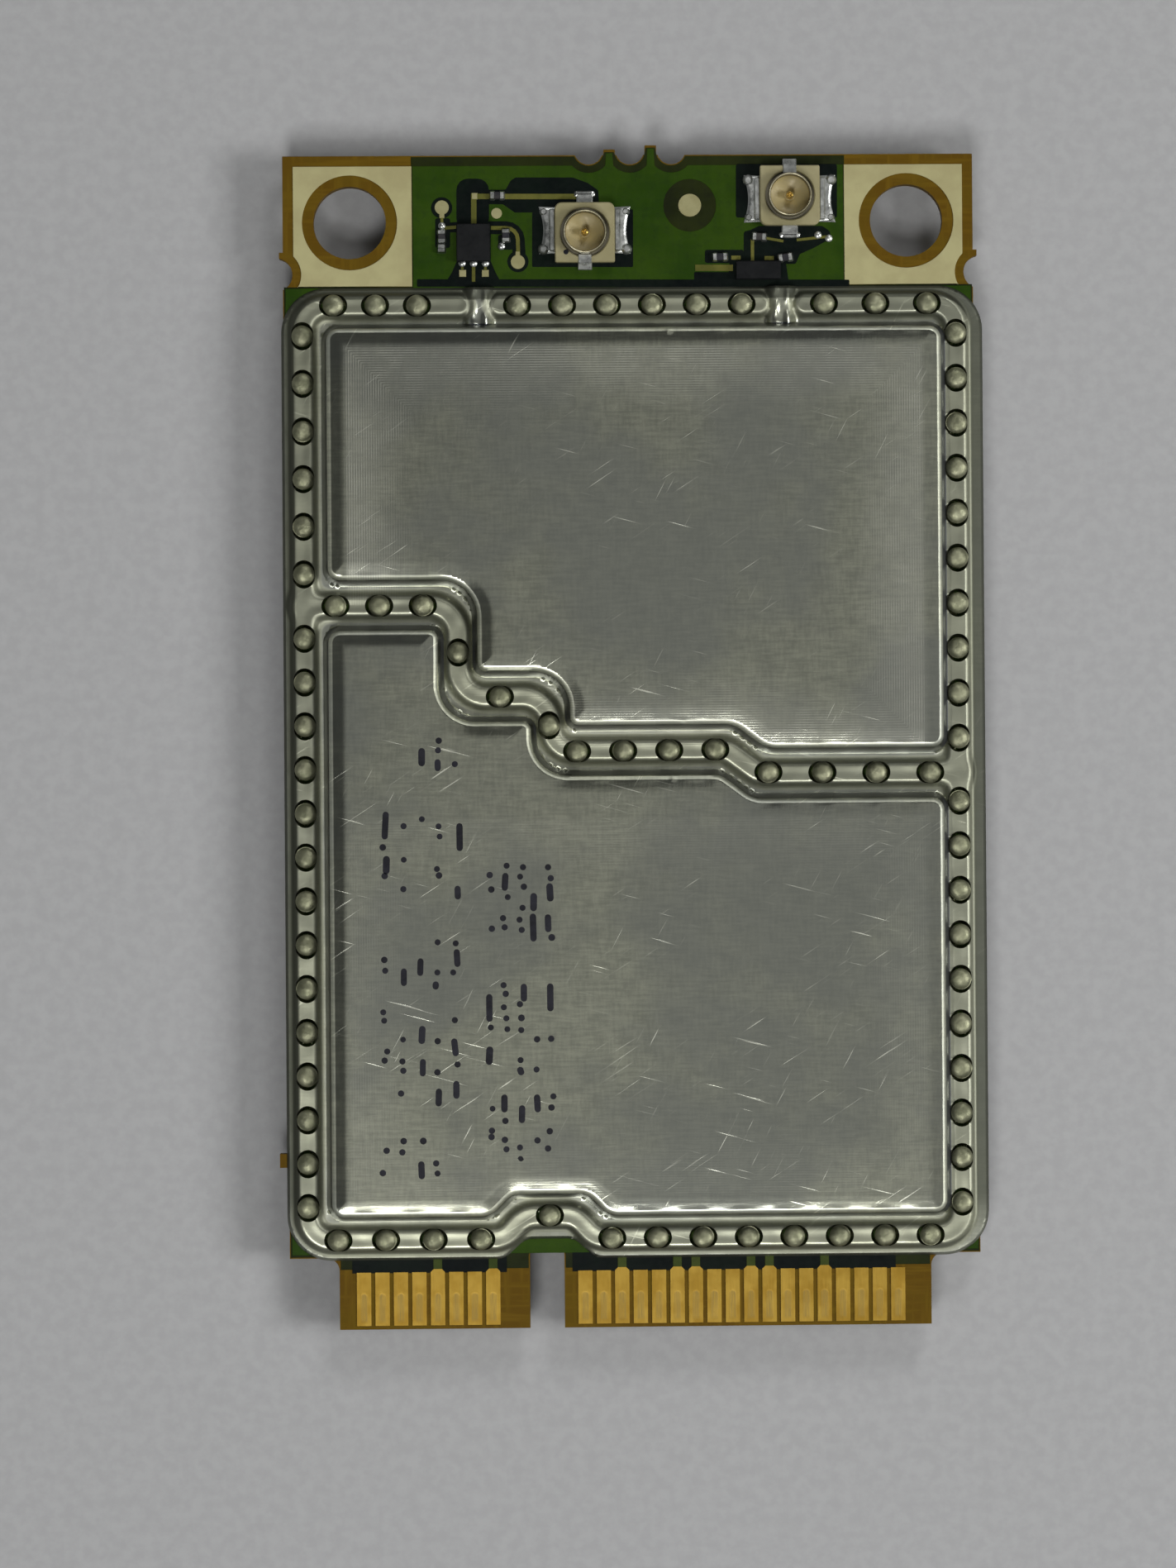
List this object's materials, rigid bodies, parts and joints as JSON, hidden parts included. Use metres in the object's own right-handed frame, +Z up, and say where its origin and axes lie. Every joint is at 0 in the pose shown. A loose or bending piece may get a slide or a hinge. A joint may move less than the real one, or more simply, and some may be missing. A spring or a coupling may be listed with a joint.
{
  "type": "mini card modem module",
  "caption": "Full-size mini card radio modem: keyed edge-contact board with a two-cavity clipped-on shield film and two miniature coaxial antenna receptacles.",
  "frame": {"origin": "under the middle of the board outline, on the surface that the card rests on", "axes": "+X across the card, +Y along it from the contact tongue to the antenna end, +Z up out of the face with the antenna receptacles"},
  "size_m": [0.0308, 0.0514, 0.004],
  "materials": {
    "laminate": "green solder mask over brown glass laminate",
    "gold": "gold plate, worn by insertion",
    "bare_land": "pale immersion gold, satin",
    "shield_film": "tin-plated film, satin with tooling marks",
    "solder": "reflowed solder, satin",
    "insulator": "cream moulded plastic",
    "socket_metal": "silver plate",
    "chip_black": "black moulding compound",
    "ceramic": "sintered ceramic"
  },
  "bodies": {
    "root": {"circuit_board": "laminate", "edge_contacts_top": "gold", "edge_contacts_bottom": "gold", "mounting_pads": "bare_land", "test_pads": "bare_land", "upper_shield": "shield_film", "lower_shield": "shield_film", "solder_balls_upper": "solder", "solder_balls_lower": "solder", "main_receptacle_base": "insulator", "diversity_receptacle_base": "insulator", "main_receptacle_shell": "socket_metal", "diversity_receptacle_shell": "socket_metal", "main_receptacle_contact": "gold", "diversity_receptacle_contact": "gold", "antenna_switch": "chip_black", "receive_filter": "chip_black", "radio_transceiver": "chip_black", "baseband_processor": "chip_black", "memory_stack": "chip_black", "power_manager": "chip_black", "power_amplifiers": "chip_black", "supply_regulators": "chip_black", "duplex_filters": "ceramic", "radio_capacitors": "ceramic", "baseband_capacitors": "ceramic", "underside_capacitors": "ceramic", "matching_parts": "ceramic", "power_inductors": "ceramic", "reference_crystal": "socket_metal"}
  },
  "joints": []
}
